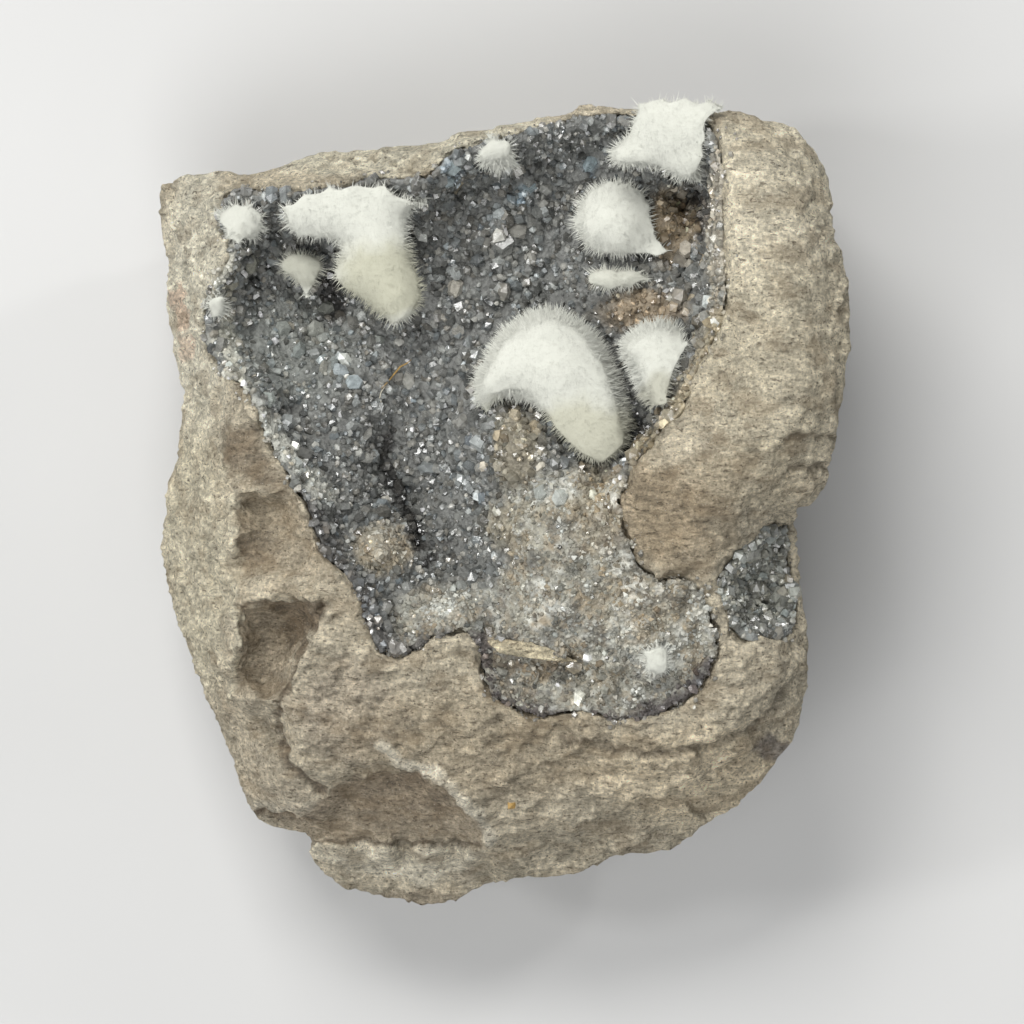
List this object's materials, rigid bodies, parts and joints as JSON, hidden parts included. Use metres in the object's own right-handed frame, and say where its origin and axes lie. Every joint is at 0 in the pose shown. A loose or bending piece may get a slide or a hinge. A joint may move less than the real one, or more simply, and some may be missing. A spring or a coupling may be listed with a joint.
{
  "type": "strontianite specimen",
  "caption": "White strontianite balls and needle sprays on grey quartz druse in a hollow of tan limestone, lying on its back.",
  "frame": {"origin": "centre of the bounding box on the plane of the flat broken back it rests on", "axes": "+X right and +Y up across the display face, +Z out of the display face, away from the surface it rests on"},
  "size_m": [0.046, 0.054, 0.0272],
  "materials": {
    "limestone": "matte",
    "quartz": "glossy",
    "strontianite": "satin"
  },
  "bodies": {
    "root": {"matrix_rock": "limestone", "vug_quartz_crust": "quartz", "side_pocket_quartz_crust": "quartz", "strontianite_big_ball": "strontianite", "strontianite_right_ball": "strontianite", "strontianite_centre_ball": "strontianite", "strontianite_flat_spray": "strontianite", "strontianite_top_right_cluster": "strontianite", "strontianite_top_spray": "strontianite", "strontianite_left_cluster": "strontianite", "strontianite_corner_ball": "strontianite", "strontianite_small_spray": "strontianite", "strontianite_rim_spray": "strontianite", "strontianite_lower_spray": "strontianite"}
  },
  "joints": []
}
